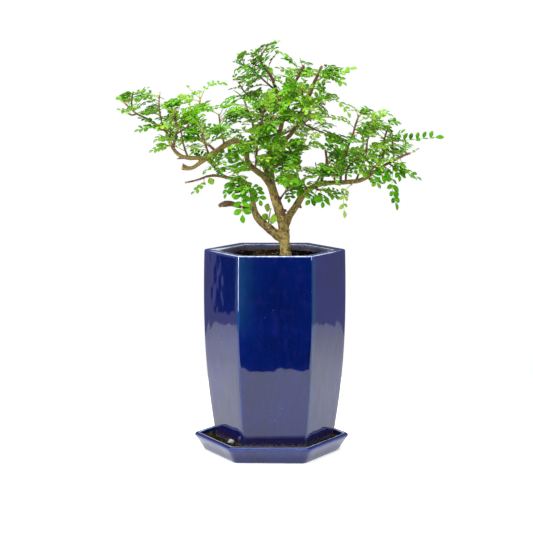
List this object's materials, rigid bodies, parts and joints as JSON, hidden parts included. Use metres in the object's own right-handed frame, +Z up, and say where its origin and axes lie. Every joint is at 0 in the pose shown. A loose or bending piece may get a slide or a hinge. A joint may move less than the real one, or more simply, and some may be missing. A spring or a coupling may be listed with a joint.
{
  "type": "potted bonsai tree",
  "caption": "Japanese pepper bonsai with a forked trunk and feathery compound leaves, in a tall six-sided blue glazed pot on a matching drip saucer.",
  "frame": {"origin": "middle of the saucer's flat underside, where the part rests", "axes": "+Z up, +X to the right of the front view, +Y to the back"},
  "size_m": [0.3207, 0.1855, 0.4136],
  "materials": {
    "glaze": "glossy cobalt blue glaze",
    "bark": "matt tan bark with olive and brown patches",
    "leaf": "satin green leaves on brown to green twigs",
    "soil": "matt dark potting soil",
    "grit": "matt dark grit",
    "pumice": "matt white pumice",
    "netting": "matt black plastic"
  },
  "bodies": {
    "root": {"saucer": "glaze", "saucer_grit": "grit", "pumice_chip": "pumice", "pot": "glaze", "drain_mesh": "netting", "soil": "soil", "trunk_and_branches": "bark", "leafy_left_tip": "leaf", "leafy_left_spire": "leaf", "leafy_left_post": "leaf", "leafy_left_sprig": "leaf", "leafy_left_under": "leaf", "leafy_left_low": "leaf", "leafy_left_gate": "leaf", "leafy_left_back": "leaf", "leafy_left_front": "leaf", "leafy_left_inner": "leaf", "leafy_low_twig": "leaf", "leafy_low_tip": "leaf", "leafy_left_curtain": "leaf", "leafy_left_screen": "leaf", "leafy_crotch_sprout": "leaf", "leafy_trunk_sprout": "leaf", "leafy_dome_left": "leaf", "leafy_dome_front": "leaf", "leafy_dome_edge": "leaf", "leafy_apex_left": "leaf", "leafy_apex": "leaf", "leafy_crown_right": "leaf", "leafy_right_spire": "leaf", "leafy_right_shelf": "leaf", "leafy_right_drift": "leaf", "leafy_face_high": "leaf", "leafy_face_right": "leaf", "leafy_face_mid": "leaf", "leafy_face_low": "leaf", "leafy_heart": "leaf", "leafy_heart_right": "leaf", "leafy_heart_high": "leaf", "leafy_top_back": "leaf", "leafy_wing_back_left": "leaf", "leafy_wing_back_right": "leaf", "leafy_back_left": "leaf", "leafy_back_right": "leaf", "leafy_back_top": "leaf", "leafy_back_low": "leaf", "leafy_right_stump": "leaf", "leafy_right_gate": "leaf", "leafy_right_mast": "leaf", "leafy_right_fork": "leaf", "leafy_right_tower": "leaf", "leafy_right_end": "leaf", "leafy_right_tassel": "leaf", "leafy_right_pendant": "leaf", "leafy_right_skirt": "leaf", "leafy_right_inner": "leaf", "leafy_right_apron": "leaf", "leafy_right_back": "leaf", "leafy_right_rear": "leaf"}
  },
  "joints": []
}
